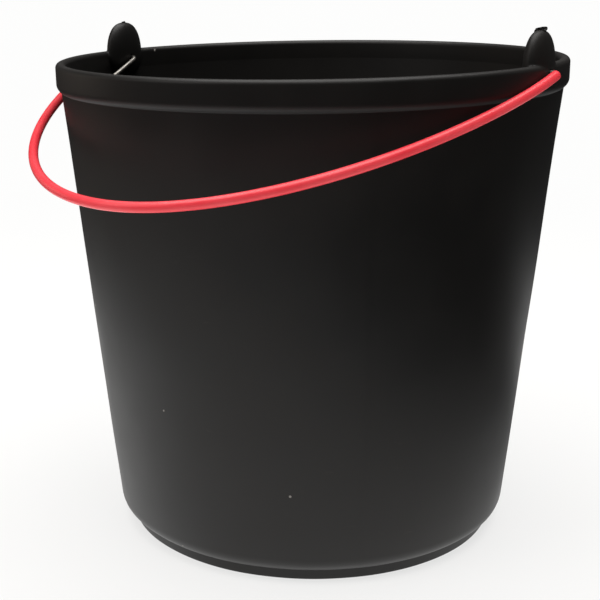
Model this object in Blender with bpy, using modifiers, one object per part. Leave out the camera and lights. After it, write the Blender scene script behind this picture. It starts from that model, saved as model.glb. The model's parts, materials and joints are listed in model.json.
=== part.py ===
"""Florist bucket: one moulded tapered bucket with two ears, a steel wire bail and the bail's plastic sleeve.

The frame: the origin is the middle of the base, +Z runs up the bucket's axis, the two ears lie on the X axis,
and the bail rests towards -Y, leaning on the front of the bucket. All lengths are in metres.
"""

import bmesh
import bpy
import math

# Bucket wall
bucket_height = 0.285
collar_radius = 0.150
collar_height = 0.0165
collar_proud = 0.0028
collar_edge_radius = 0.006
rim_width = 0.006
rim_rounding = 0.0027
wall_thickness = 0.0035

# Bucket base
base_radius = 0.1228
base_corner_radius = 0.012
foot_inset = 0.0088
foot_height = 0.006
foot_chamfer = 0.001
floor_thickness = 0.004
floor_fillet = 0.004

# Ears
ear_height = 0.0175
ear_half_width = 0.0157
ear_half_thickness = 0.0066
ear_inset = 0.0002
ear_tail = 0.001

# Bail: a steel wire hooked through the ears, with a plastic sleeve over the bow
wire_diameter = 0.0028
sleeve_wall = 0.00105
sleeve_gap = 0.0003
hole_clearance = 0.0015
pivot_drop = 0.0045
hand_gap = 0.046
bow_roundness = 1.6
bail_rest_angle = math.radians(16)
bail_clearance = 0.0005
hook_clearance = 0.002
hook_length = 0.026
hook_droop = math.radians(8)
hook_bend_radius = 0.004
leg_bend_radius = 0.003

# Fineness of the round shapes
turn_steps = 64
arc_steps = 4
bow_steps = 32
tube_resolution = 3

# What follows from the sizes above
wall_top_radius = collar_radius - collar_proud
collar_bottom = bucket_height - collar_height
corner_height = foot_height + base_corner_radius
foot_radius = base_radius - foot_inset
ear_centre_radius = collar_radius - ear_inset - ear_half_thickness
pivot_height = bucket_height - pivot_drop
wire_radius = wire_diameter / 2
sleeve_radius = wire_radius + sleeve_gap + sleeve_wall
hole_radius = (wire_diameter + hole_clearance) / 2
bail_reach = collar_radius + hand_gap


def clear_scene():
    for old in list(bpy.data.objects):
        bpy.data.objects.remove(old, do_unlink=True)


def make_collection(name):
    collection = bpy.data.collections.new(name)
    bpy.context.scene.collection.children.link(collection)
    return collection


def make_material(name, colour, roughness, metallic):
    material = bpy.data.materials.new(name)
    material.use_nodes = True
    shader = material.node_tree.nodes["Principled BSDF"]
    shader.inputs["Base Color"].default_value = (*colour, 1)
    shader.inputs["Roughness"].default_value = roughness
    shader.inputs["Metallic"].default_value = metallic
    material.diffuse_color = (*colour, 1)
    return material


def place(name, data, collection, material=None):
    thing = bpy.data.objects.new(name, data)
    collection.objects.link(thing)
    if material:
        data.materials.append(material)
    return thing


def arc(centre_x, centre_z, radius, start, end):
    """Points on an arc in the XZ plane, from the start angle to the end angle in degrees."""
    points = []
    for step in range(arc_steps + 1):
        angle = math.radians(start + (end - start) * step / arc_steps)
        points.append((centre_x + radius * math.cos(angle), centre_z + radius * math.sin(angle)))
    return points


def bucket_section():
    """Half the bucket's cross-section, from the floor's middle, up the inside and down the outside."""
    corner_centre = base_radius - base_corner_radius
    inner_corner = base_corner_radius - wall_thickness
    well_radius = foot_radius - wall_thickness
    well_angle = math.degrees(math.acos((well_radius - corner_centre) / inner_corner))
    foot_angle = math.degrees(math.acos((foot_radius - corner_centre) / base_corner_radius))
    edge_angle = math.degrees(math.acos(1 - collar_proud / collar_edge_radius))
    rim_inside = collar_radius - rim_width

    section = [(0, floor_thickness)]
    section += arc(well_radius - floor_fillet, floor_thickness + floor_fillet, floor_fillet, -90, 0)
    section += arc(corner_centre, corner_height, inner_corner, -well_angle, 0)
    section += [(wall_top_radius - wall_thickness, collar_bottom)]
    section += arc(rim_inside + rim_rounding, bucket_height - rim_rounding, rim_rounding, 180, 90)
    section += arc(collar_radius - rim_rounding, bucket_height - rim_rounding, rim_rounding, 90, 0)
    section += arc(collar_radius - collar_edge_radius,
                   collar_bottom + collar_edge_radius * math.sin(math.radians(edge_angle)),
                   collar_edge_radius, 0, -edge_angle)
    section += arc(corner_centre, corner_height, base_corner_radius, 0, -foot_angle)
    section += [(foot_radius, foot_chamfer), (foot_radius - foot_chamfer, 0), (0, 0)]
    return section


def make_turned_shell(name, section, collection, material):
    mesh = bpy.data.meshes.new(name)
    points = [(x, 0, z) for x, z in section]
    mesh.from_pydata(points, [(i, i + 1) for i in range(len(points) - 1)], [])
    shell = place(name, mesh, collection, material)
    screw = shell.modifiers.new("turn", "SCREW")
    screw.steps = turn_steps
    screw.render_steps = turn_steps
    screw.use_merge_vertices = True
    screw.merge_threshold = 0.00001
    return shell


def make_ear(name, side, collection):
    """An upright egg centred on the pivot; its lower half fades into the wall as an inner boss."""
    top = ear_height + pivot_drop
    bottom = collar_height + ear_tail - pivot_drop
    ball = bmesh.new()
    bmesh.ops.create_uvsphere(ball, u_segments=24, v_segments=14, radius=1)
    for vert in ball.verts:
        vert.co.x *= ear_half_thickness
        vert.co.y *= ear_half_width
        vert.co.z *= top if vert.co.z > 0 else bottom
    mesh = bpy.data.meshes.new(name)
    ball.to_mesh(mesh)
    ball.free()
    ear = place(name, mesh, collection)
    ear.location = (side * ear_centre_radius, 0, pivot_height)
    return ear


def make_pivot_drill(name, collection):
    """One long cylinder along X that drills both ears on the same line."""
    rod = bmesh.new()
    bmesh.ops.create_cone(rod, cap_ends=True, segments=24, radius1=hole_radius, radius2=hole_radius,
                          depth=2 * collar_radius + 0.02)
    mesh = bpy.data.meshes.new(name)
    rod.to_mesh(mesh)
    rod.free()
    drill = place(name, mesh, collection)
    drill.rotation_euler = (0, math.radians(90), 0)
    drill.location = (0, 0, pivot_height)
    return drill


def hide_cutter(cutter):
    cutter.hide_render = True
    cutter.display_type = "WIRE"


def add_boolean(target, cutter, operation):
    boolean = target.modifiers.new(f"{operation.lower()} {cutter.name}", "BOOLEAN")
    boolean.operation = operation
    boolean.solver = "EXACT"
    boolean.object = cutter


def make_bucket(parts, cutters, material):
    bucket = make_turned_shell("bucket_body", bucket_section(), parts, material)
    for side, name in ((1, "right_ear"), (-1, "left_ear")):
        ear = make_ear(name, side, cutters)
        add_boolean(bucket, ear, "UNION")
        hide_cutter(ear)
    drill = make_pivot_drill("pivot_drill", cutters)
    add_boolean(bucket, drill, "DIFFERENCE")
    hide_cutter(drill)
    return bucket


def bow_share(forward):
    """How wide the bow is at a distance in front of the pivots, as a share of its half width."""
    return math.sqrt(max(0, 1 - (forward / bail_reach) ** bow_roundness))


def bow_half_width():
    """The narrowest bow whose sleeve passes outside the collar as the bail swings through level."""
    clear_radius = collar_radius + sleeve_radius + bail_clearance
    widest = 0
    for step in range(200):
        forward = clear_radius * step / 200
        widest = max(widest, math.sqrt(clear_radius**2 - forward**2) / bow_share(forward))
    return widest


def bail_path():
    """The right half of the wire: from the hook's free end, through the ear, to the middle of the bow.

    x is the distance from the middle along the pivot axis, y is the distance in front of the pivots, and z is
    the height above the bow's plane, which only the drooping hook leaves.
    Also returns the number of the point where the wire's outer bend ends, which is where the sleeve starts.
    """
    hook_line = ear_centre_radius - ear_half_thickness - hook_clearance - wire_radius
    hook = [(hook_line, hook_length)]
    hook += arc(hook_line + hook_bend_radius, hook_bend_radius, hook_bend_radius, 180, 270)
    path = [(x, y * math.cos(hook_droop), -y * math.sin(hook_droop)) for x, y in hook]

    half_width = bow_half_width()
    bend_centre = half_width * bow_share(leg_bend_radius) - leg_bend_radius
    path += [(x, y, 0) for x, y in arc(bend_centre, leg_bend_radius, leg_bend_radius, 270, 360)]
    sleeve_start = len(path) - 1

    first = math.asin((leg_bend_radius / bail_reach) ** (bow_roundness / 2))
    for step in range(1, bow_steps + 1):
        angle = first + (math.pi / 2 - first) * step / bow_steps
        forward = bail_reach * math.sin(angle) ** (2 / bow_roundness)
        path.append((half_width * bow_share(forward), forward, 0))
    return path, sleeve_start


def both_sides(half):
    """The right half's points, then the same points on the left, without repeating the middle one."""
    return half + [(-x, y, z) for x, y, z in reversed(half[:-1])]


def make_tube(name, points, radius, pivot, collection, material):
    """A round tube along points in the bail's plane, which the pivot empty tilts."""
    curve = bpy.data.curves.new(name, "CURVE")
    curve.dimensions = "3D"
    curve.bevel_depth = radius
    curve.bevel_resolution = tube_resolution
    spline = curve.splines.new("POLY")
    spline.points.add(len(points) - 1)
    for point, (x, y, z) in zip(spline.points, points):
        point.co = (x, -y, z, 1)
    tube = place(name, curve, collection, material)
    tube.parent = pivot
    return tube


def make_bail(parts, steel, plastic):
    pivot = bpy.data.objects.new("bail_pivot", None)
    parts.objects.link(pivot)
    pivot.location = (0, 0, pivot_height)
    pivot.rotation_euler = (bail_rest_angle, 0, 0)

    half, sleeve_start = bail_path()
    wire = make_tube("bail_wire", both_sides(half), wire_radius, pivot, parts, steel)
    wire.data.use_fill_caps = True

    sleeve = make_tube("bail_sleeve", both_sides(half[sleeve_start:]), sleeve_radius, pivot, parts, plastic)
    bore = sleeve.modifiers.new("bore", "SOLIDIFY")
    bore.thickness = sleeve_wall
    bore.offset = -1
    return wire, sleeve


def main():
    clear_scene()
    parts = make_collection("florist_bucket")
    cutters = make_collection("cutters")
    black_plastic = make_material("black_plastic", (0.018, 0.017, 0.016), 0.5, 0)
    bare_steel = make_material("bare_steel", (0.56, 0.55, 0.53), 0.35, 1)
    coral_plastic = make_material("coral_plastic", (0.78, 0.07, 0.075), 0.38, 0)
    bucket = make_bucket(parts, cutters, black_plastic)
    wire, sleeve = make_bail(parts, bare_steel, coral_plastic)
    bpy.context.view_layer.update()
    print("built", bucket.name, wire.name, sleeve.name)


main()
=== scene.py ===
import json
import math

import bmesh
import bpy
from mathutils import Matrix, Vector, kdtree


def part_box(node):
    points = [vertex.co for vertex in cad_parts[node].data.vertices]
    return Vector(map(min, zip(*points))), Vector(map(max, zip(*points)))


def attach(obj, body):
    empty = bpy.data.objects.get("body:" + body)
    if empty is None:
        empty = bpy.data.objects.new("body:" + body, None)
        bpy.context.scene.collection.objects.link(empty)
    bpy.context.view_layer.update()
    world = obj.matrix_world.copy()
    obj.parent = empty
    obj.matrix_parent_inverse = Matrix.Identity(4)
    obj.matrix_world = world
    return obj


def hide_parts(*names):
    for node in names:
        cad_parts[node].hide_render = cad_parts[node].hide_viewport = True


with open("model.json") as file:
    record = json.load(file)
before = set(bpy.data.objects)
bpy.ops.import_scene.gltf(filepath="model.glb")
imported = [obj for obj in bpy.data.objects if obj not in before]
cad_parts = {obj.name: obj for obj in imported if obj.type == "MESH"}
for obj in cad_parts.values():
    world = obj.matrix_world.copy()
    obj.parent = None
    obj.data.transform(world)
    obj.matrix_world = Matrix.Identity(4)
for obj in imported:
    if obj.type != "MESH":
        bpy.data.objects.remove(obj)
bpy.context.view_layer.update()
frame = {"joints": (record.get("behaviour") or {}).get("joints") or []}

scene = bpy.context.scene
scene.view_settings.view_transform = "Standard"

# Places read from the fixed frame
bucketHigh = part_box("bucket_body")[1]
sleeveLow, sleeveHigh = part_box("bail_sleeve")
pivotHeight = frame["joints"][0]["pos_m"][2]
collarRadius = bucketHigh.x


# Small helpers for node trees, objects and meshes

def addNode(tree, kind, settings=None, **inputs):
    # an input is named, or given as i0, i1 and so on by its place; a socket is linked, a value is set
    node = tree.nodes.new(kind)
    for name, value in (settings or {}).items():
        setattr(node, name, value)
    for name, value in inputs.items():
        byPlace = name[0] == "i" and name[1:].isdigit()
        socket = node.inputs[int(name[1:])] if byPlace else node.inputs[name.replace("_", " ")]
        if isinstance(value, bpy.types.NodeSocket):
            tree.links.new(value, socket)
        else:
            socket.default_value = value
    return node


def addMath(tree, operation, *values):
    return addNode(tree, "ShaderNodeMath", {"operation": operation},
                   **{f"i{place}": value for place, value in enumerate(values)}).outputs[0]


def mixColour(tree, factor, first, second):
    mixed = addNode(tree, "ShaderNodeMix", {"data_type": "RGBA"}, Factor=factor, i6=first, i7=second)
    return mixed.outputs[2]


def startTree(name, kind, inputs, outputs):
    tree = bpy.data.node_groups.new(name, kind)
    for label, socketKind, value in inputs:
        socket = tree.interface.new_socket(label, in_out="INPUT", socket_type=socketKind)
        if value is not None:
            socket.default_value = value
    for label, socketKind in outputs:
        tree.interface.new_socket(label, in_out="OUTPUT", socket_type=socketKind)
    return tree, tree.nodes.new("NodeGroupInput").outputs, tree.nodes.new("NodeGroupOutput")


def linkNew(name, data):
    thing = bpy.data.objects.new(name, data)
    scene.collection.objects.link(thing)
    return thing


def bakedMesh(thing, name):
    bpy.context.view_layer.update()
    graph = bpy.context.evaluated_depsgraph_get()
    mesh = bpy.data.meshes.new_from_object(thing.evaluated_get(graph), depsgraph=graph)
    mesh.name = name
    finish = [material for material in mesh.materials if material]
    mesh.materials.clear()
    for material in finish[:1]:
        mesh.materials.append(material)
    return mesh


def bakedPiece(thing, name):
    # the evaluated shape as a plain object at the origin, in place of the one with modifiers
    piece = linkNew(name, bakedMesh(thing, name))
    bpy.data.objects.remove(thing, do_unlink=True)
    return piece


def runTree(name, tree, values):
    # an empty mesh carries the modifier; its inputs are set by identifier before it is first evaluated
    carrier = linkNew(name + "Carrier", bpy.data.meshes.new(name + "Carrier"))
    modifier = carrier.modifiers.new(name, "NODES")
    modifier.node_group = tree
    for item in tree.interface.items_tree:
        if item.item_type == "SOCKET" and item.in_out == "INPUT" and item.name in values:
            modifier[item.identifier] = values[item.name]
    return bakedPiece(carrier, name)


def linkForm(name, form):
    mesh = bpy.data.meshes.new(name)
    form.to_mesh(mesh)
    form.free()
    return linkNew(name, mesh)


def pointOutwards(mesh):
    form = bmesh.new()
    form.from_mesh(mesh)
    bmesh.ops.remove_doubles(form, verts=form.verts, dist=1e-6)
    bmesh.ops.recalc_face_normals(form, faces=form.faces)
    if form.calc_volume(signed=True) < 0:
        bmesh.ops.reverse_faces(form, faces=form.faces)
    form.to_mesh(mesh)
    form.free()


def polyCurve(name, points, radii=None):
    curve = bpy.data.curves.new(name, "CURVE")
    curve.dimensions = "3D"
    spline = curve.splines.new("POLY")
    spline.points.add(len(points) - 1)
    for place, point in enumerate(points):
        spline.points[place].co = (*point, 1)
        spline.points[place].radius = radii[place] if radii else 1
    return linkNew(name, curve)


# Camera

cameraSettings = {
    "azimuth": 31.82,  # degrees to the right of straight on
    "distance": 0.7671,  # from the bucket's axis, level
    "height": 0.3423,
    "turn": 3.52,  # degrees off the axis, to the left
    "pitch": 16.46,
    "roll": -1.04,
    "lens": 75.75,
    "sensorWidth": 36,
    "shiftX": 0.1076,
    "shiftY": 0.05,
    "clipStart": 0.01,
}


def makeCamera(settings):
    azimuth = math.radians(settings["azimuth"])
    camera = linkNew("camera", bpy.data.cameras.new("camera"))
    camera.data.lens = settings["lens"]
    camera.data.sensor_width = settings["sensorWidth"]
    camera.data.shift_x = settings["shiftX"]
    camera.data.shift_y = settings["shiftY"]
    camera.data.clip_start = settings["clipStart"]
    distance = settings["distance"]
    place = Vector((math.sin(azimuth) * distance, -math.cos(azimuth) * distance, settings["height"]))
    heading = math.radians(settings["azimuth"] + settings["turn"])
    turned = (Matrix.Rotation(heading, 4, "Z")
              @ Matrix.Rotation(math.radians(90 - settings["pitch"]), 4, "X")
              @ Matrix.Rotation(math.radians(settings["roll"]), 4, "Z"))
    camera.matrix_world = Matrix.Translation(place) @ turned
    scene.camera = camera


# Floor and light

studio = {
    "floorSize": 14.0,
    "floorColour": (0.90, 0.90, 0.895),
    "floorRoughness": 0.9,
    "floorSpecular": 0.05,
    "backgroundColour": (0.985, 0.985, 0.98),  # what the camera sees beyond the floor
    "roomColour": (1.0, 0.97, 0.94),  # dim light from all around
    "roomStrength": 0.07,
    # painted light: in gloss the floor is painted bright near this point and painted dark beyond it, as if
    # only part of it were lit
    "mirroredCentre": (-0.085, -0.14, 0),
    "mirroredFade": (0.20, 0.52),  # distances from that point
    "roomFront": (0.527, -0.850, 0),  # towards the side where the floor is painted dark in gloss
    "roomFrontFade": (-0.35, -0.05),  # distances that way from the axis
    "mirroredEnd": (0.35, 0.75),  # distances from the axis past which it is painted dark in gloss on every side
    # painted shade: the colour the floor shows in gloss where it is painted dark
    "mirroredColour": (0.02, 0.02, 0.02),
    # painted light: in gloss the floor also glows; this share of it is emission, this many times as bright
    "mirroredEvenness": 0.85,
    "mirroredStrength": 1.55,
    "evenness": 0.75,  # how far the floor that the camera sees is evened out
    "seamFade": (0.35, 1.3),  # distances from the axis where the floor passes into the background
    "lightAim": (0, 0, 0.15),
    # each light: name, azimuth, distance, height, width, power, colour; azimuth is from the camera's side
    "lights": [
        ("overheadLight", 170, 0.1, 3.2, 3.6, 170, (1.0, 0.985, 0.965)),
        ("keyLight", -62, 1.5, 1.15, 0.9, 5, (1.0, 0.96, 0.92)),
        ("leftLight", -108, 1.3, 0.35, 0.6, 0.85, (1.0, 0.86, 0.74)),
    ],
}


def fadeBetween(tree, value, limits, lowest=0.0):
    return addNode(tree, "ShaderNodeMapRange", {"interpolation_type": "SMOOTHSTEP"}, Value=value,
                   From_Min=limits[0], From_Max=limits[1], To_Min=lowest).outputs[0]


def makeFloorPaperWithPaintedGloss(settings):
    # pale paper that passes into the background far off; in gloss it is painted light near one point,
    # painted shade beyond it, and glows
    paint = bpy.data.materials.new("floorPaper")
    paint.use_nodes = True
    tree = paint.node_tree
    shader = tree.nodes["Principled BSDF"]
    rays = addNode(tree, "ShaderNodeLightPath").outputs
    where = addNode(tree, "ShaderNodeTexCoord").outputs["Object"]
    distance = addNode(tree, "ShaderNodeVectorMath", {"operation": "LENGTH"}, i0=where).outputs["Value"]
    aside = addNode(tree, "ShaderNodeVectorMath", {"operation": "DISTANCE"}, i0=where,
                    i1=settings["mirroredCentre"]).outputs["Value"]
    ahead = addNode(tree, "ShaderNodeVectorMath", {"operation": "DOT_PRODUCT"}, i0=where,
                    i1=settings["roomFront"]).outputs["Value"]
    far = fadeBetween(tree, aside, settings["mirroredFade"])
    front = fadeBetween(tree, ahead, settings["roomFrontFade"])
    ended = fadeBetween(tree, distance, settings["mirroredEnd"])
    # painted shade: in gloss the floor is dark away from its painted lit point, towards the front and far
    # off
    dark = addMath(tree, "MAXIMUM", addMath(tree, "MULTIPLY", far, front), ended)
    paintedGlossShade = addMath(tree, "MULTIPLY", dark, rays["Is Glossy Ray"])
    mirroredColour = (*settings["mirroredColour"], 1)
    tree.links.new(mixColour(tree, paintedGlossShade, (*settings["floorColour"], 1), mirroredColour),
                   shader.inputs["Base Color"])
    shader.inputs["Roughness"].default_value = settings["floorRoughness"]
    shader.inputs["Specular IOR Level"].default_value = settings["floorSpecular"]
    seam = fadeBetween(tree, distance, settings["seamFade"], settings["evenness"])
    # painted light: in gloss the floor glows with this colour, brighter than it is lit; for the camera it is
    # the even background
    glow = mixColour(tree, paintedGlossShade, (*settings["backgroundColour"], 1), mirroredColour)
    gain = addMath(tree, "MULTIPLY_ADD", rays["Is Glossy Ray"], settings["mirroredStrength"] - 1, 1)
    even = addNode(tree, "ShaderNodeEmission", Color=glow, Strength=gain)
    share = addMath(tree, "ADD", addMath(tree, "MULTIPLY", seam, rays["Is Camera Ray"]),
                    addMath(tree, "MULTIPLY", rays["Is Glossy Ray"], settings["mirroredEvenness"]))
    mixed = addNode(tree, "ShaderNodeMixShader", i0=share, i1=shader.outputs[0], i2=even.outputs[0])
    tree.links.new(mixed.outputs[0], tree.nodes["Material Output"].inputs[0])
    return paint


def makeWorld(settings):
    world = bpy.data.worlds.new("studio")
    scene.world = world
    world.use_nodes = True
    tree = world.node_tree
    room = tree.nodes["Background"]
    room.inputs["Color"].default_value = (*settings["roomColour"], 1)
    room.inputs["Strength"].default_value = settings["roomStrength"]
    seen = addNode(tree, "ShaderNodeBackground", Color=(*settings["backgroundColour"], 1), Strength=1.0)
    direct = addNode(tree, "ShaderNodeLightPath").outputs["Is Camera Ray"]
    mixed = addNode(tree, "ShaderNodeMixShader", i0=direct, i1=room.outputs[0], i2=seen.outputs[0])
    tree.links.new(mixed.outputs[0], tree.nodes["World Output"].inputs[0])


def makeStudio(settings):
    form = bmesh.new()
    bmesh.ops.create_grid(form, x_segments=1, y_segments=1, size=settings["floorSize"] / 2)
    floor = linkForm("floor", form)
    floor.data.materials.append(makeFloorPaperWithPaintedGloss(settings))
    makeWorld(settings)
    for name, azimuth, distance, height, size, power, colour in settings["lights"]:
        angle = math.radians(cameraSettings["azimuth"] + azimuth)
        lamp = linkNew(name, bpy.data.lights.new(name, "AREA"))
        lamp.data.size = size
        lamp.data.energy = power
        lamp.data.color = colour
        lamp.visible_camera = False
        place = Vector((math.sin(angle) * distance, -math.cos(angle) * distance, height))
        aim = Vector(settings["lightAim"]) - place
        lamp.matrix_world = Matrix.Translation(place) @ aim.to_track_quat("-Z", "Y").to_matrix().to_4x4()


makeCamera(cameraSettings)
makeStudio(studio)
print("camera and studio are set")


# Bucket: a turned section with moulded ears

bucket = {
    "pivotBelowRim": 0.0045,
    "collarHeight": 0.0165,
    "collarProud": 0.0028,
    "collarEdge": 0.006,  # rounding of the collar's lower edge
    "collarRoot": 0.0008,  # hollow where the collar meets the wall
    "rimWidth": 0.006,
    "rimRounding": 0.0027,
    "wallThickness": 0.0035,
    "baseRadius": 0.1228,
    "cornerRadius": 0.012,
    "footHeight": 0.006,
    "footInset": 0.0088,
    "footEdge": 0.001,
    "floorThickness": 0.004,
    "floorFillet": 0.004,
    "wallSteps": 26,
    "stepsAround": 288,
    "cornerSteps": 7,
    "footCrease": 0.0008,  # rounding where the corner runs into the foot
    "cornerEase": 0.001,  # how much less than the full radius rounds the drawn corner
    "rimDepth": 0.012,  # how far down the rim's inner face runs straight
    "rimBlend": 0.01,
    "collarMiddle": 0.4,  # share of the collar's height where its face has a point
    "warp": 0.00025,  # how far the moulding's wall waves in and out
    "warpScale": 2.2,
    "warpRise": 6.0,  # how much faster the wave changes up the wall than around it
    "warpRadius": 0.12,  # radius where the wave is as deep as it says
    "mergeDistance": 0.00002,  # closes the seam and the poles
    "sharpAngle": 38,  # degrees
}

ears = {
    "heightAboveRim": 0.0175,
    "halfWidth": 0.0157,
    "halfThickness": 0.0066,
    "squareness": 2.6,  # 2 is an oval seen from above, more is boxier
    "fullness": 2.45,  # the same for the dome seen from the side
    "insetFromCollar": 0.0002,
    "tailBelowCollar": 0.001,
    "holeDiameter": 0.0043,
    "stepsAround": 72,
    "stepsUp": 56,
    "holeSteps": 48,
    "drillOverrun": 0.01,
    # the join with the rim is softened near its crease, inside a zone around the ear and clear of the hole
    "mergeDistance": 0.00003,
    "creaseAngle": 22,  # degrees
    "filletReach": 0.0022,
    "filletPasses": 10,
    "filletStrength": 0.5,
    "filletEdges": (0.0016, 0.0008),  # longest edge left after each round of cuts
    "zoneFromAxis": 0.125,
    "zoneAside": 0.022,
    "zoneBelowPivot": 0.02,
    "zoneBelowTip": 0.004,
    "holeMargin": 0.62,  # share of the hole's diameter
}


def bucketSection(sizes):
    # corners as (radius, height, rounding), from the floor's middle up the inside and down the outside
    rim = pivotHeight + sizes["pivotBelowRim"]
    collarFoot = rim - sizes["collarHeight"]
    wallTop = collarRadius - sizes["collarProud"]
    base = sizes["baseRadius"]
    corner = sizes["cornerRadius"]
    cornerHeight = sizes["footHeight"] + corner
    slope = (wallTop - base) / (collarFoot - cornerHeight)
    thick = sizes["wallThickness"]
    foot = base - sizes["footInset"]
    well = foot - thick

    def cornerPlaces(radius, reach):
        # where a quarter-round bottom corner is cut off by the foot, and where its tangents cross
        angle = math.acos((reach - (base - corner)) / radius)
        cut = cornerHeight - radius * math.sin(angle)
        cross = cut + (base - corner + radius - reach) / math.tan(angle)
        return cut, cross

    outerCut, outerCross = cornerPlaces(corner, foot)
    innerCut, innerCross = cornerPlaces(corner - thick, well)

    points = [(0, sizes["floorThickness"], 0)]
    points += [(well * share, sizes["floorThickness"], 0) for share in (0.25, 0.5, 0.75)]
    points += [(well, sizes["floorThickness"], sizes["floorFillet"])]
    points += [(well, innerCut, sizes["footCrease"])]
    points += [(base - thick - slope * (cornerHeight - innerCross), innerCross,
                corner - thick - sizes["cornerEase"])]
    steps = sizes["wallSteps"]
    for step in range(1, steps):
        height = cornerHeight + (collarFoot - cornerHeight) * (step + 0.5) / steps
        points += [(base - thick + slope * (height - cornerHeight), height, 0)]
    points += [(collarRadius - sizes["rimWidth"], rim - sizes["rimDepth"], sizes["rimBlend"])]
    points += [(collarRadius - sizes["rimWidth"], rim, sizes["rimRounding"])]
    points += [(collarRadius, rim, sizes["rimRounding"])]
    points += [(collarRadius, rim - sizes["collarMiddle"] * sizes["collarHeight"], 0)]
    edge = sizes["collarEdge"]
    turn = math.acos(1 - sizes["collarProud"] / edge)
    points += [(collarRadius, collarFoot + edge * (math.sin(turn) - math.tan(turn / 2)), edge)]
    points += [(wallTop, collarFoot, sizes["collarRoot"])]
    for step in range(steps - 1, 0, -1):
        height = cornerHeight + (collarFoot - cornerHeight) * (step + 0.5) / steps
        points += [(base + slope * (height - cornerHeight), height, 0)]
    points += [(base - slope * (cornerHeight - outerCross), outerCross, corner - sizes["cornerEase"])]
    points += [(foot, outerCut, sizes["footCrease"])]
    points += [(foot, 0, sizes["footEdge"])]
    points += [(foot * share, 0, 0) for share in (0.75, 0.5, 0.25)]
    points += [(0, 0, 0)]
    return points


def turnedShellTree():
    # a grid whose rows follow the rounded section and whose columns go once around
    tree, given, result = startTree("turnedShell", "GeometryNodeTree", [
        ("Section", "NodeSocketObject", None),
        ("Steps Around", "NodeSocketInt", 64),
        ("Corner Steps", "NodeSocketInt", 4),
        ("Warp", "NodeSocketFloat", 0.0),
        ("Warp Scale", "NodeSocketFloat", 2.0),
        ("Warp Rise", "NodeSocketFloat", 1.0),
        ("Warp Radius", "NodeSocketFloat", 1.0),
        ("Merge Distance", "NodeSocketFloat", 0.0),
        ("Material", "NodeSocketMaterial", None),
    ], [("Geometry", "NodeSocketGeometry")])
    section = addNode(tree, "GeometryNodeObjectInfo", Object=given["Section"]).outputs["Geometry"]
    rounding = addNode(tree, "GeometryNodeInputRadius").outputs[0]
    rounded = addNode(tree, "GeometryNodeFilletCurve", {"mode": "POLY"}, Curve=section, Radius=rounding,
                      Count=given["Corner Steps"], Limit_Radius=True).outputs[0]
    rows = addNode(tree, "GeometryNodeAttributeDomainSize", {"component": "CURVE"},
                   Geometry=rounded).outputs["Point Count"]
    columns = addMath(tree, "ADD", given["Steps Around"], 1)
    grid = addNode(tree, "GeometryNodeMeshGrid", Vertices_X=columns, Vertices_Y=rows).outputs["Mesh"]
    index = addNode(tree, "GeometryNodeInputIndex").outputs[0]
    row = addMath(tree, "MODULO", index, rows)
    column = addMath(tree, "FLOOR", addMath(tree, "DIVIDE", index, rows))
    place = addNode(tree, "GeometryNodeInputPosition").outputs[0]
    onSection = addNode(tree, "GeometryNodeSampleIndex", {"data_type": "FLOAT_VECTOR", "domain": "POINT"},
                        Geometry=rounded, Value=place, Index=row)
    split = addNode(tree, "ShaderNodeSeparateXYZ", Vector=onSection.outputs[0])
    angle = addMath(tree, "MULTIPLY", addMath(tree, "DIVIDE", column, given["Steps Around"]), 2 * math.pi)
    cosine = addMath(tree, "COSINE", angle)
    sine = addMath(tree, "SINE", angle)
    # a slow wave in the wall, the same on both of its faces, less towards the middle of the floor
    level = addMath(tree, "MULTIPLY", split.outputs["Z"], given["Warp Rise"])
    around = addNode(tree, "ShaderNodeCombineXYZ", X=cosine, Y=sine, Z=level).outputs[0]
    wave = addNode(tree, "ShaderNodeTexNoise", Vector=around, Scale=given["Warp Scale"], Detail=1.0)
    centred = addMath(tree, "SUBTRACT", wave.outputs[0], 0.5)
    waved = addMath(tree, "MULTIPLY", addMath(tree, "MULTIPLY", centred, 4), given["Warp"])
    outward = addMath(tree, "DIVIDE", split.outputs["X"], given["Warp Radius"])
    radius = addMath(tree, "ADD", split.outputs["X"], addMath(tree, "MULTIPLY", waved, outward))
    turned = addNode(tree, "ShaderNodeCombineXYZ", X=addMath(tree, "MULTIPLY", radius, cosine),
                     Y=addMath(tree, "MULTIPLY", radius, sine), Z=split.outputs["Z"]).outputs[0]
    moved = addNode(tree, "GeometryNodeSetPosition", Geometry=grid, Position=turned).outputs[0]
    closed = addNode(tree, "GeometryNodeMergeByDistance", Geometry=moved,
                     Distance=given["Merge Distance"]).outputs[0]
    smooth = addNode(tree, "GeometryNodeSetShadeSmooth", Geometry=closed).outputs[0]
    real = addNode(tree, "GeometryNodeRealizeInstances", Geometry=smooth).outputs[0]
    coated = addNode(tree, "GeometryNodeSetMaterial", Geometry=real, Material=given["Material"]).outputs[0]
    tree.links.new(coated, result.inputs[0])
    return tree


def makeEar(side, sizes):
    # an upright egg centred on the pivot, its lower half fading into the wall
    form = bmesh.new()
    bmesh.ops.create_uvsphere(form, u_segments=sizes["stepsAround"], v_segments=sizes["stepsUp"], radius=1)
    top = sizes["heightAboveRim"] + bucket["pivotBelowRim"]
    tail = bucket["collarHeight"] + sizes["tailBelowCollar"] - bucket["pivotBelowRim"]
    centre = collarRadius - sizes["insetFromCollar"] - sizes["halfThickness"]
    for vert in form.verts:
        level = math.hypot(vert.co.x, vert.co.y)
        if level > 0.001:
            power = sizes["squareness"]
            boxy = (abs(vert.co.x / level) ** power + abs(vert.co.y / level) ** power) ** (-1 / power)
            vert.co.x *= 1 + (boxy - 1) * (1 - abs(vert.co.y / level))
        if vert.co.z > 0:
            power = sizes["fullness"]
            vert.co *= (min(level, 1) ** power + vert.co.z ** power) ** (-1 / power)
        vert.co.x = vert.co.x * sizes["halfThickness"] + side * centre
        vert.co.y *= sizes["halfWidth"]
        vert.co.z = vert.co.z * (top if vert.co.z > 0 else tail) + pivotHeight
    return linkForm("ear", form)


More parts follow.
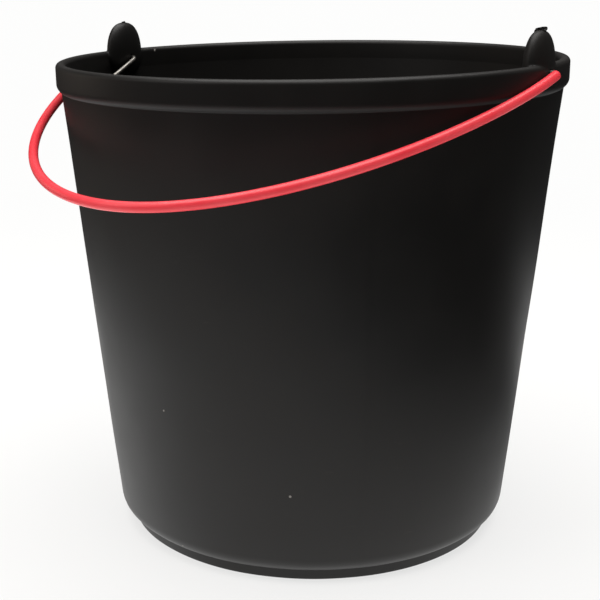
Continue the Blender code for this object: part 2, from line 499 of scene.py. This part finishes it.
gateStub = {
    "width": 0.0066,
    "depth": 0.0042,
    "height": 0.0017,
    "sink": 0.0022,  # how far the stub sits into the ear's tip
    "lean": -14,  # degrees, one end higher than the other
    "turn": 30,  # degrees
    "roughness": 0.0004,
    "pointedness": 0.28,  # how much narrower one end is
    "flatTop": 0.75,
    "leftSize": 0.45,  # the left ear's stub, as a share of the right one's
}


def makeGateStub(side, sizes):
    # what is left of the moulding gate on the ear's tip: a low torn cap, pointed at one end
    share = 1.0 if side > 0 else sizes["leftSize"]
    form = bmesh.new()
    bmesh.ops.create_icosphere(form, subdivisions=4, radius=1)
    tip = Vector((side * (collarRadius - ears["insetFromCollar"] - ears["halfThickness"]), 0, bucketHigh.z))
    lean = (Matrix.Rotation(math.radians(sizes["turn"]), 4, "Z")
            @ Matrix.Rotation(math.radians(sizes["lean"]), 4, "Y"))
    rise = Vector((0, 0, sizes["height"] - sizes["sink"]))
    for vert in form.verts:
        along, across, up = vert.co
        narrow = 1 - sizes["pointedness"] * (1 - along)
        # uneven waves stand in for the tear, and grow towards the top
        torn = Vector((math.sin(5.1 * across + 2.3 * up + side), math.sin(4.3 * along - 1.7 * up),
                       math.sin(6.2 * along + 3.9 * across + 2 * side)))
        torn *= sizes["roughness"] * (1.2 + up)
        cap = Vector((along * sizes["width"] / 2, across * sizes["depth"] / 2 * narrow,
                      min(sizes["flatTop"], up) * sizes["height"]))
        vert.co = tip + lean @ (cap + torn) * share + rise * share
    return linkForm("gateStub", form)


def makePivotDrill(sizes):
    form = bmesh.new()
    radius = sizes["holeDiameter"] / 2
    bmesh.ops.create_cone(form, cap_ends=True, segments=sizes["holeSteps"], radius1=radius, radius2=radius,
                          depth=2 * (collarRadius + sizes["drillOverrun"]))
    drill = linkForm("pivotDrill", form)
    drill.data.transform(Matrix.Translation((0, 0, pivotHeight)) @ Matrix.Rotation(math.radians(90), 4, "Y"))
    return drill


def softenEarJoins(mesh, sizes):
    # the crease where an ear leaves the rim is rounded by easing the points around it
    form = bmesh.new()
    form.from_mesh(mesh)
    bmesh.ops.remove_doubles(form, verts=form.verts, dist=sizes["mergeDistance"])

    def nearEar(point):
        return (abs(point.x) > sizes["zoneFromAxis"] and abs(point.y) < sizes["zoneAside"]
                and point.z > pivotHeight - sizes["zoneBelowPivot"])

    def awayFromHole(point):
        return math.hypot(point.y, point.z - pivotHeight) > sizes["holeDiameter"] * sizes["holeMargin"]

    def creases():
        found = []
        for edge in form.edges:
            if len(edge.link_faces) == 2 and edge.calc_face_angle() > math.radians(sizes["creaseAngle"]):
                middle = (edge.verts[0].co + edge.verts[1].co) / 2
                belowTip = middle.z < bucketHigh.z - sizes["zoneBelowTip"]
                if nearEar(middle) and awayFromHole(middle) and belowTip:
                    found.append(edge)
        return found

    def closeTo(edges, reach):
        tree = kdtree.KDTree(2 * len(edges))
        for place, edge in enumerate(edges):
            tree.insert(edge.verts[0].co, 2 * place)
            tree.insert(edge.verts[1].co, 2 * place + 1)
        tree.balance()
        near = {}
        for vert in form.verts:
            if nearEar(vert.co):
                distance = tree.find(vert.co)[2]
                if distance < reach:
                    near[vert] = 1 - distance / reach
        return near

    for longest in sizes["filletEdges"]:
        zone = closeTo(creases(), sizes["filletReach"])
        longEdges = [edge for edge in form.edges
                     if edge.verts[0] in zone and edge.verts[1] in zone and edge.calc_length() > longest]
        bmesh.ops.subdivide_edges(form, edges=longEdges, cuts=1)
        bmesh.ops.triangulate(form, faces=[face for face in form.faces if len(face.verts) > 4])
    zone = closeTo(creases(), sizes["filletReach"])
    for _ in range(sizes["filletPasses"]):
        moved = {}
        for vert, weight in zone.items():
            if awayFromHole(vert.co):
                ring = [edge.other_vert(vert).co for edge in vert.link_edges]
                moved[vert] = vert.co.lerp(sum(ring, Vector()) / len(ring), sizes["filletStrength"] * weight)
        for vert, place in moved.items():
            vert.co = place
    form.to_mesh(mesh)
    form.free()


def makeBucketShell(material):
    points = bucketSection(bucket)
    section = polyCurve("sectionGuide", [(radius, 0, height) for radius, height, _ in points],
                        [rounding for *_, rounding in points])
    shell = runTree("turnedBody", turnedShellTree(), {
        "Section": section,
        "Steps Around": bucket["stepsAround"],
        "Corner Steps": bucket["cornerSteps"],
        "Warp": bucket["warp"],
        "Warp Scale": bucket["warpScale"],
        "Warp Rise": bucket["warpRise"],
        "Warp Radius": bucket["warpRadius"],
        "Merge Distance": bucket["mergeDistance"],
        "Material": material,
    })
    pointOutwards(shell.data)
    tools = [("UNION", makeEar(1, ears)), ("UNION", makeEar(-1, ears)),
             ("UNION", makeGateStub(1, gateStub)), ("UNION", makeGateStub(-1, gateStub)),
             ("DIFFERENCE", makePivotDrill(ears))]
    for operation, tool in tools:
        tool.data.materials.append(material)
        boolean = shell.modifiers.new(tool.name, "BOOLEAN")
        boolean.operation = operation
        boolean.solver = "MANIFOLD"
        boolean.object = tool
    piece = bakedPiece(shell, "bucketShell")
    softenEarJoins(piece.data, ears)
    piece.data.shade_smooth()
    piece.data.set_sharp_from_angle(angle=math.radians(bucket["sharpAngle"]))
    for spare in [section] + [tool for _, tool in tools]:
        bpy.data.objects.remove(spare, do_unlink=True)
    return piece


# Bail: the wire and its sleeve follow one path

bail = {
    "wireDiameter": 0.0028,
    "sleeveDiameter": 0.0055,
    "sleeveWall": 0.00105,
    "bowRoundness": 1.6,  # 2 is an ellipse, less is a more pointed bow
    "hookLength": 0.026,
    "hookDroop": 8,  # degrees below the bow's plane
    "hookClearance": 0.002,
    "hookBend": 0.004,
    "legBend": 0.003,
    "endTaper": 0.8,  # the wire's cut ends, as a share of its thickness
    "cutEdge": 0.00025,
    "bowSteps": 110,
    "bendSteps": 10,
    "sides": 28,
    "sharpAngle": 50,  # degrees
}


def arcPoints(centreX, centreY, radius, start, end, steps):
    angles = [math.radians(start + (end - start) * step / steps) for step in range(steps + 1)]
    return [(centreX + radius * math.cos(angle), centreY + radius * math.sin(angle)) for angle in angles]


def bailPaths(sizes):
    # the whole path's right half in the bail's own plane, then both sides placed on the tilted plane
    sleeveRadius = sizes["sleeveDiameter"] / 2
    front = Vector((0, sleeveLow.y + sleeveRadius, sleeveLow.z + sleeveRadius))
    forward = Vector((0, front.y, front.z - pivotHeight))
    reach = forward.length
    roundness = sizes["bowRoundness"]
    bend = sizes["legBend"]

    def widthShare(distance):
        return math.sqrt(max(0, 1 - (distance / reach) ** roundness))

    halfWidth = (sleeveHigh.x - sleeveRadius) / widthShare(bend)
    hookLine = (collarRadius - ears["insetFromCollar"] - 2 * ears["halfThickness"]
                - sizes["hookClearance"] - sizes["wireDiameter"] / 2)
    hookBend = sizes["hookBend"]
    hookEnd = sizes["hookLength"]

    # points are (outwards, ahead, above the bow's plane)
    hook = [(hookLine, hookEnd * share) for share in (1, 0.65, 0.35)]
    hook += arcPoints(hookLine + hookBend, hookBend, hookBend, 180, 270, sizes["bendSteps"])
    droop = math.radians(sizes["hookDroop"])
    half = [(x, y * math.cos(droop), -y * math.sin(droop)) for x, y in hook]
    leg = arcPoints(halfWidth * widthShare(bend) - bend, bend, bend, 270, 360, sizes["bendSteps"])
    half += [(x, y, 0) for x, y in leg]
    sleeveFrom = len(half) - 1
    first = math.asin((bend / reach) ** (roundness / 2))
    for step in range(1, sizes["bowSteps"] + 1):
        angle = first + (math.pi / 2 - first) * step / sizes["bowSteps"]
        distance = reach * math.sin(angle) ** (2 / roundness)
        half.append((halfWidth * widthShare(distance), distance, 0))

    ahead = forward.normalized()
    above = Vector((1, 0, 0)).cross(ahead)
    above = above if above.z > 0 else -above

    def placed(points):
        whole = points + [(-x, y, z) for x, y, z in reversed(points[:-1])]
        return [Vector((x, 0, pivotHeight)) + ahead * y + above * z for x, y, z in whole]

    return placed(half), placed(half[sleeveFrom:])


def sweptTubeTree():
    # a round tube along a path, carrying where each point lies along and around it
    tree, given, result = startTree("sweptTube", "GeometryNodeTree", [
        ("Path", "NodeSocketObject", None),
        ("Radius", "NodeSocketFloat", 0.003),
        ("Sides", "NodeSocketInt", 24),
        ("Capped", "NodeSocketBool", True),
        ("Material", "NodeSocketMaterial", None),
    ], [("Geometry", "NodeSocketGeometry")])
    path = addNode(tree, "GeometryNodeObjectInfo", Object=given["Path"]).outputs["Geometry"]
    along = addNode(tree, "GeometryNodeSplineParameter").outputs["Length"]
    marked = addNode(tree, "GeometryNodeCaptureAttribute", {"domain": "POINT"}, Geometry=path)
    marked.capture_items.new("FLOAT", "Along")
    tree.links.new(along, marked.inputs[1])
    ring = addNode(tree, "GeometryNodeCurvePrimitiveCircle", Resolution=given["Sides"],
                   Radius=given["Radius"])
    turn = addNode(tree, "GeometryNodeSplineParameter").outputs["Factor"]
    ringMarked = addNode(tree, "GeometryNodeCaptureAttribute", {"domain": "POINT"},
                         Geometry=ring.outputs["Curve"])
    ringMarked.capture_items.new("FLOAT", "Turn")
    tree.links.new(turn, ringMarked.inputs[1])
    tube = addNode(tree, "GeometryNodeCurveToMesh", Curve=marked.outputs[0],
                   Profile_Curve=ringMarked.outputs[0], Fill_Caps=given["Capped"]).outputs[0]
    angle = addMath(tree, "MULTIPLY", ringMarked.outputs[1], 2 * math.pi)
    cosine = addMath(tree, "COSINE", angle)
    sine = addMath(tree, "SINE", angle)
    coordinate = addNode(tree, "ShaderNodeCombineXYZ", X=marked.outputs[1], Y=cosine, Z=sine).outputs[0]
    stored = addNode(tree, "GeometryNodeStoreNamedAttribute",
                     {"data_type": "FLOAT_VECTOR", "domain": "POINT"},
                     Geometry=tube, Name="alongAndAround", Value=coordinate).outputs[0]
    smooth = addNode(tree, "GeometryNodeSetShadeSmooth", Geometry=stored).outputs[0]
    real = addNode(tree, "GeometryNodeRealizeInstances", Geometry=smooth).outputs[0]
    coated = addNode(tree, "GeometryNodeSetMaterial", Geometry=real, Material=given["Material"]).outputs[0]
    tree.links.new(coated, result.inputs[0])
    return tree


def makeBail(wireMaterial, sleeveMaterial):
    wirePath, sleevePath = bailPaths(bail)
    tree = sweptTubeTree()
    thickness = [bail["endTaper"]] + [1] * (len(wirePath) - 2) + [bail["endTaper"]]
    wireGuide = polyCurve("wireGuide", wirePath, thickness)
    sleeveGuide = polyCurve("sleeveGuide", sleevePath)
    wire = runTree("bailWire", tree, {
        "Path": wireGuide,
        "Radius": bail["wireDiameter"] / 2,
        "Sides": bail["sides"],
        "Capped": True,
        "Material": wireMaterial,
    })
    tube = runTree("sleeveTube", tree, {
        "Path": sleeveGuide,
        "Radius": bail["sleeveDiameter"] / 2,
        "Sides": bail["sides"],
        "Capped": False,
        "Material": sleeveMaterial,
    })
    pointOutwards(wire.data)
    wall = tube.modifiers.new("wall", "SOLIDIFY")
    wall.thickness = bail["sleeveWall"]
    wall.offset = -1
    edge = tube.modifiers.new("cutEdge", "BEVEL")
    edge.width = bail["cutEdge"]
    edge.segments = 2
    edge.angle_limit = math.radians(60)
    sleeve = bakedPiece(tube, "bailSleeve")
    for piece in (wire, sleeve):
        piece.data.shade_smooth()
        piece.data.set_sharp_from_angle(angle=math.radians(bail["sharpAngle"]))
    for guide in (wireGuide, sleeveGuide):
        bpy.data.objects.remove(guide, do_unlink=True)
    return wire, sleeve


# Surface effects that the finishes share

def grainGroup():
    # the fine texture that a mould or a die leaves
    tree, given, result = startTree("fineGrain", "ShaderNodeTree", [
        ("Vector", "NodeSocketVector", None),
        ("Scale", "NodeSocketFloat", 1200.0),
        ("Softness", "NodeSocketFloat", 0.5),
    ], [("Height", "NodeSocketFloat")])
    fine = addNode(tree, "ShaderNodeTexNoise", Vector=given["Vector"], Scale=given["Scale"], Detail=3.0)
    broad = addNode(tree, "ShaderNodeTexNoise", Vector=given["Vector"],
                    Scale=addMath(tree, "MULTIPLY", given["Scale"], 0.12), Detail=2.0)
    mixed = addNode(tree, "ShaderNodeMix", {"data_type": "FLOAT"}, Factor=given["Softness"],
                    i2=fine.outputs[0], i3=broad.outputs[0])
    tree.links.new(mixed.outputs[0], result.inputs[0])
    return tree


def handlingGroup():
    # cloudy patches and short random scuffs from use
    tree, given, result = startTree("handlingMarks", "ShaderNodeTree", [
        ("Vector", "NodeSocketVector", None),
        ("Cloud Scale", "NodeSocketFloat", 9.0),
        ("Scuff Scale", "NodeSocketFloat", 60.0),
        ("Scuff Amount", "NodeSocketFloat", 0.5),
    ], [("Clouds", "NodeSocketFloat"), ("Scuffs", "NodeSocketFloat")])
    clouds = addNode(tree, "ShaderNodeTexNoise", Vector=given["Vector"], Scale=given["Cloud Scale"],
                     Detail=4.0, Roughness=0.55)
    spread = fadeBetween(tree, clouds.outputs[0], (0.3, 0.7))
    bent = addNode(tree, "ShaderNodeTexNoise", Vector=given["Vector"], Scale=14.0, Detail=2.0)
    warped = addNode(tree, "ShaderNodeVectorMath", {"operation": "MULTIPLY_ADD"}, i0=bent.outputs["Color"],
                     i1=(0.05, 0.05, 0.05), i2=given["Vector"])
    stretched = addNode(tree, "ShaderNodeVectorMath", {"operation": "MULTIPLY"}, i0=warped.outputs[0],
                        i1=(1.0, 1.0, 7.0))
    lines = addNode(tree, "ShaderNodeTexNoise", Vector=stretched.outputs[0], Scale=given["Scuff Scale"],
                    Detail=5.0, Roughness=0.7)
    sharp = addNode(tree, "ShaderNodeMapRange", Value=lines.outputs[0], From_Min=0.64, From_Max=0.74)
    where = addNode(tree, "ShaderNodeMapRange", Value=clouds.outputs[0], From_Min=0.52, From_Max=0.66)
    scuffs = addMath(tree, "MULTIPLY", addMath(tree, "MULTIPLY", sharp.outputs[0], where.outputs[0]),
                     given["Scuff Amount"])
    tree.links.new(spread, result.inputs[0])
    tree.links.new(scuffs, result.inputs[1])
    return tree


def dustGroup():
    # sparse pale specks
    tree, given, result = startTree("dustSpecks", "ShaderNodeTree", [
        ("Vector", "NodeSocketVector", None),
        ("Spacing Scale", "NodeSocketFloat", 40.0),
        ("Speck Size", "NodeSocketFloat", 0.05),
        ("Share", "NodeSocketFloat", 0.1),
    ], [("Specks", "NodeSocketFloat")])
    cells = addNode(tree, "ShaderNodeTexVoronoi", {"feature": "F1"}, Vector=given["Vector"],
                    Scale=given["Spacing Scale"])
    inside = addMath(tree, "LESS_THAN", cells.outputs["Distance"], given["Speck Size"])
    chance = addNode(tree, "ShaderNodeSeparateColor", Color=cells.outputs["Color"])
    kept = addMath(tree, "LESS_THAN", chance.outputs[0], given["Share"])
    tree.links.new(addMath(tree, "MULTIPLY", inside, kept), result.inputs[0])
    return tree


def startMaterial(name):
    material = bpy.data.materials.new(name)
    material.use_nodes = True
    return material, material.node_tree, material.node_tree.nodes["Principled BSDF"]


blackPlastic = {
    "colour": (0.0052, 0.0047, 0.0043),
    "cloudColour": (0.0092, 0.0080, 0.0070),
    "scuffColour": (0.035, 0.032, 0.030),
    "dustColour": (0.32, 0.30, 0.28),
    "roughness": 0.46,
    "cloudRoughness": 0.54,
    "specular": 0.32,
    "cloudScale": 9.0,
    "scuffScale": 55.0,
    "scuffAmount": 0.55,
    "dustSpacing": 55.0,  # cells to a metre
    "dustSize": 0.04,  # share of a cell
    "dustShare": 0.3,  # share of the cells that hold a speck
    "grainScale": 1500.0,
    "grainSoftness": 0.35,
    "grainDepth": 0.00006,
    "grainStrength": 0.6,
}


def makeBlackPlastic(groups, look):
    material, tree, shader = startMaterial("blackMouldedPlastic")
    where = addNode(tree, "ShaderNodeTexCoord").outputs["Object"]
    marks = addNode(tree, "ShaderNodeGroup", {"node_tree": groups["handling"]}, Vector=where,
                    Cloud_Scale=look["cloudScale"], Scuff_Scale=look["scuffScale"],
                    Scuff_Amount=look["scuffAmount"]).outputs
    specks = addNode(tree, "ShaderNodeGroup", {"node_tree": groups["dust"]}, Vector=where,
                     Spacing_Scale=look["dustSpacing"], Speck_Size=look["dustSize"],
                     Share=look["dustShare"]).outputs[0]
    grain = addNode(tree, "ShaderNodeGroup", {"node_tree": groups["grain"]}, Vector=where,
                    Scale=look["grainScale"], Softness=look["grainSoftness"]).outputs[0]
    base = mixColour(tree, marks["Clouds"], (*look["colour"], 1), (*look["cloudColour"], 1))
    scuffed = mixColour(tree, marks["Scuffs"], base, (*look["scuffColour"], 1))
    dusty = mixColour(tree, specks, scuffed, (*look["dustColour"], 1))
    tree.links.new(dusty, shader.inputs["Base Color"])
    rough = addNode(tree, "ShaderNodeMapRange", Value=marks["Clouds"], To_Min=look["roughness"],
                    To_Max=look["cloudRoughness"]).outputs[0]
    tree.links.new(addMath(tree, "MAXIMUM", rough, specks), shader.inputs["Roughness"])
    shader.inputs["Specular IOR Level"].default_value = look["specular"]
    bump = addNode(tree, "ShaderNodeBump", Height=grain, Distance=look["grainDepth"],
                   Strength=look["grainStrength"])
    tree.links.new(bump.outputs[0], shader.inputs["Normal"])
    return material


coralSleeve = {
    "colour": (0.92, 0.042, 0.062),
    "paleColour": (0.95, 0.070, 0.090),
    "scuffColour": (0.62, 0.20, 0.20),
    "roughness": 0.34,
    "scuffRoughness": 0.55,
    "specular": 0.45,
    "cloudScale": 45.0,
    "scuffScale": 190.0,
    "scuffAmount": 0.5,
    "lineStretch": (18.0, 6.0, 6.0),  # along the tube, and around it
    "lineScale": 1.4,
    "lineSoftness": 0.3,
    "lineDepth": 0.00003,
    "lineStrength": 0.5,
}


def addDrawnMarks(tree, shader, groups, look):
    # handling marks, and the lines that drawing leaves along a tube or a wire
    where = addNode(tree, "ShaderNodeTexCoord").outputs["Object"]
    onTube = addNode(tree, "ShaderNodeAttribute", {"attribute_name": "alongAndAround"}).outputs["Vector"]
    marks = addNode(tree, "ShaderNodeGroup", {"node_tree": groups["handling"]}, Vector=where,
                    Cloud_Scale=look["cloudScale"], Scuff_Scale=look["scuffScale"],
                    Scuff_Amount=look["scuffAmount"]).outputs
    drawn = addNode(tree, "ShaderNodeVectorMath", {"operation": "MULTIPLY"}, i0=onTube,
                    i1=look["lineStretch"]).outputs[0]
    lines = addNode(tree, "ShaderNodeGroup", {"node_tree": groups["grain"]}, Vector=drawn,
                    Scale=look["lineScale"], Softness=look["lineSoftness"]).outputs[0]
    bump = addNode(tree, "ShaderNodeBump", Height=lines, Distance=look["lineDepth"],
                   Strength=look["lineStrength"])
    tree.links.new(bump.outputs[0], shader.inputs["Normal"])
    return marks


def makeCoralSleeve(groups, look):
    material, tree, shader = startMaterial("coralSleevePlastic")
    marks = addDrawnMarks(tree, shader, groups, look)
    base = mixColour(tree, marks["Clouds"], (*look["colour"], 1), (*look["paleColour"], 1))
    scuffed = mixColour(tree, marks["Scuffs"], base, (*look["scuffColour"], 1))
    tree.links.new(scuffed, shader.inputs["Base Color"])
    rough = addNode(tree, "ShaderNodeMapRange", Value=marks["Scuffs"], To_Min=look["roughness"],
                    To_Max=look["scuffRoughness"]).outputs[0]
    tree.links.new(rough, shader.inputs["Roughness"])
    shader.inputs["Specular IOR Level"].default_value = look["specular"]
    return material


bareSteel = {
    "colour": (0.30, 0.285, 0.265),
    "dullColour": (0.19, 0.18, 0.165),
    "roughness": 0.30,
    "dullRoughness": 0.5,
    "cloudScale": 140.0,
    "scuffScale": 400.0,
    "scuffAmount": 0.6,
    "lineStretch": (30.0, 9.0, 9.0),
    "lineScale": 1.6,
    "lineSoftness": 0.2,
    "lineDepth": 0.00002,
    "lineStrength": 0.5,
}


def makeBareSteel(groups, look):
    material, tree, shader = startMaterial("bareSteelWire")
    marks = addDrawnMarks(tree, shader, groups, look)
    tree.links.new(mixColour(tree, marks["Clouds"], (*look["colour"], 1), (*look["dullColour"], 1)),
                   shader.inputs["Base Color"])
    rough = addNode(tree, "ShaderNodeMapRange", Value=marks["Clouds"], To_Min=look["roughness"],
                    To_Max=look["dullRoughness"]).outputs[0]
    tree.links.new(rough, shader.inputs["Roughness"])
    shader.inputs["Metallic"].default_value = 1.0
    return material


effects = {"grain": grainGroup(), "handling": handlingGroup(), "dust": dustGroup()}
plastic = makeBlackPlastic(effects, blackPlastic)
coral = makeCoralSleeve(effects, coralSleeve)
steel = makeBareSteel(effects, bareSteel)
print("finishes are made")

shell = makeBucketShell(plastic)
print("bucket is turned and its ears are joined:", len(shell.data.polygons), "faces")
wire, sleeve = makeBail(steel, coral)
print("bail is bent:", len(wire.data.polygons), "and", len(sleeve.data.polygons), "faces")

for piece, body, node, slot in ((shell, "bucket", "bucket_body", "black_plastic"),
                                (wire, "bail", "bail_wire", "bare_steel"),
                                (sleeve, "bail", "bail_sleeve", "coral_plastic")):
    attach(piece, body)
    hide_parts(node)
